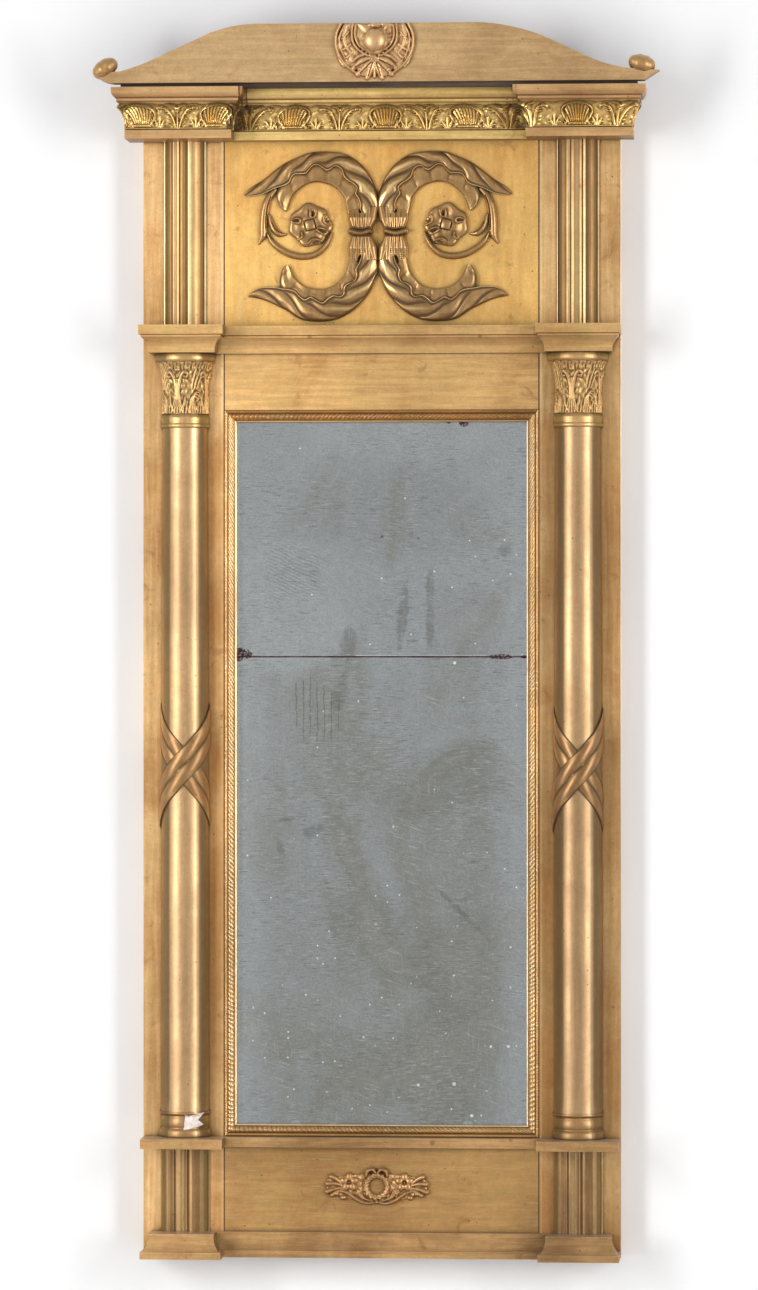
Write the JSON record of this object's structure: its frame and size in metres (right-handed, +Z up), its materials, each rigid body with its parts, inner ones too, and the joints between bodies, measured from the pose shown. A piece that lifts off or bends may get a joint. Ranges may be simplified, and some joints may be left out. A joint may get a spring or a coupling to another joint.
{
  "type": "pier mirror",
  "caption": "Tall gilded wall mirror with half-columns, a break-front cornice, a frieze with scroll mounts and a two-plate glass, hung by loops on its back.",
  "frame": {"origin": "on the wall plane, on the centre line, at the middle of the head rail's back face", "axes": "+X to the viewer's right, +Y into the wall, +Z up"},
  "size_m": [0.6404, 0.096, 1.3965],
  "materials": {
    "gilded_board": "bronzed gilding on gessoed pine, matt",
    "gilded_moulding": "bronzed gilding on gessoed pine, satin",
    "gilded_column": "burnished bronzed gilding, satin",
    "gilded_ornament": "bronzed gilding on pressed composition, satin",
    "bare_pine": "old unpainted pine",
    "mirror_glass": "old tin-mercury silvering, clouded",
    "forged_iron": "forged, dark, slightly rusted"
  },
  "bodies": {
    "frame": {"left_stile": "gilded_board", "right_stile": "gilded_board", "head_rail": "bare_pine", "frieze_panel": "gilded_board", "upper_rail": "gilded_board", "lower_panel": "gilded_board", "cornice_centre": "gilded_moulding", "cornice_left": "gilded_moulding", "cornice_right": "gilded_moulding", "cornice_ornament_centre": "gilded_ornament", "cornice_ornament_left": "gilded_ornament", "cornice_ornament_right": "gilded_ornament", "top_board": "bare_pine", "crest_board": "gilded_board", "crest_cleats": "bare_pine", "crest_left_roundel": "gilded_ornament", "crest_right_roundel": "gilded_ornament", "crest_cartouche": "gilded_ornament", "left_upper_pilaster": "gilded_column", "right_upper_pilaster": "gilded_column", "left_leaf_scroll": "gilded_ornament", "right_leaf_scroll": "gilded_ornament", "left_tendril": "gilded_ornament", "right_tendril": "gilded_ornament", "left_rosette": "gilded_ornament", "right_rosette": "gilded_ornament", "entablature_centre": "gilded_moulding", "entablature_left": "gilded_moulding", "entablature_right": "gilded_moulding", "left_capital": "gilded_column", "right_capital": "gilded_column", "left_column": "gilded_column", "right_column": "gilded_column", "left_ribbon": "gilded_column", "right_ribbon": "gilded_column", "left_column_base": "gilded_column", "right_column_base": "gilded_column", "sight_moulding_top": "gilded_moulding", "sight_moulding_bottom": "gilded_moulding", "sight_moulding_left": "gilded_moulding", "sight_moulding_right": "gilded_moulding", "upper_plate": "mirror_glass", "lower_plate": "mirror_glass", "backboards": "bare_pine", "glazing_blocks": "bare_pine", "backboard_nails": "forged_iron", "sill_centre": "gilded_moulding", "sill_left": "gilded_moulding", "sill_right": "gilded_moulding", "left_lower_pilaster": "gilded_column", "right_lower_pilaster": "gilded_column", "lower_mount": "gilded_ornament", "plinth_centre": "gilded_moulding", "plinth_left": "gilded_moulding", "plinth_right": "gilded_moulding", "hanger_plates": "forged_iron", "hanger_screws": "forged_iron"},
    "left_loop": {"left_hanging_loop": "forged_iron"},
    "right_loop": {"right_hanging_loop": "forged_iron"}
  },
  "joints": [
    {"name": "left_loop_swing", "type": "hinge", "parent": "frame", "child": "left_loop", "pos_m": [-0.11, -0.00932, -0.1205], "axis": [1, 0, 0], "range_deg": [0, 180]},
    {"name": "right_loop_swing", "type": "hinge", "parent": "frame", "child": "right_loop", "pos_m": [0.11, -0.00932, -0.1205], "axis": [1, 0, 0], "range_deg": [0, 180]}
  ]
}
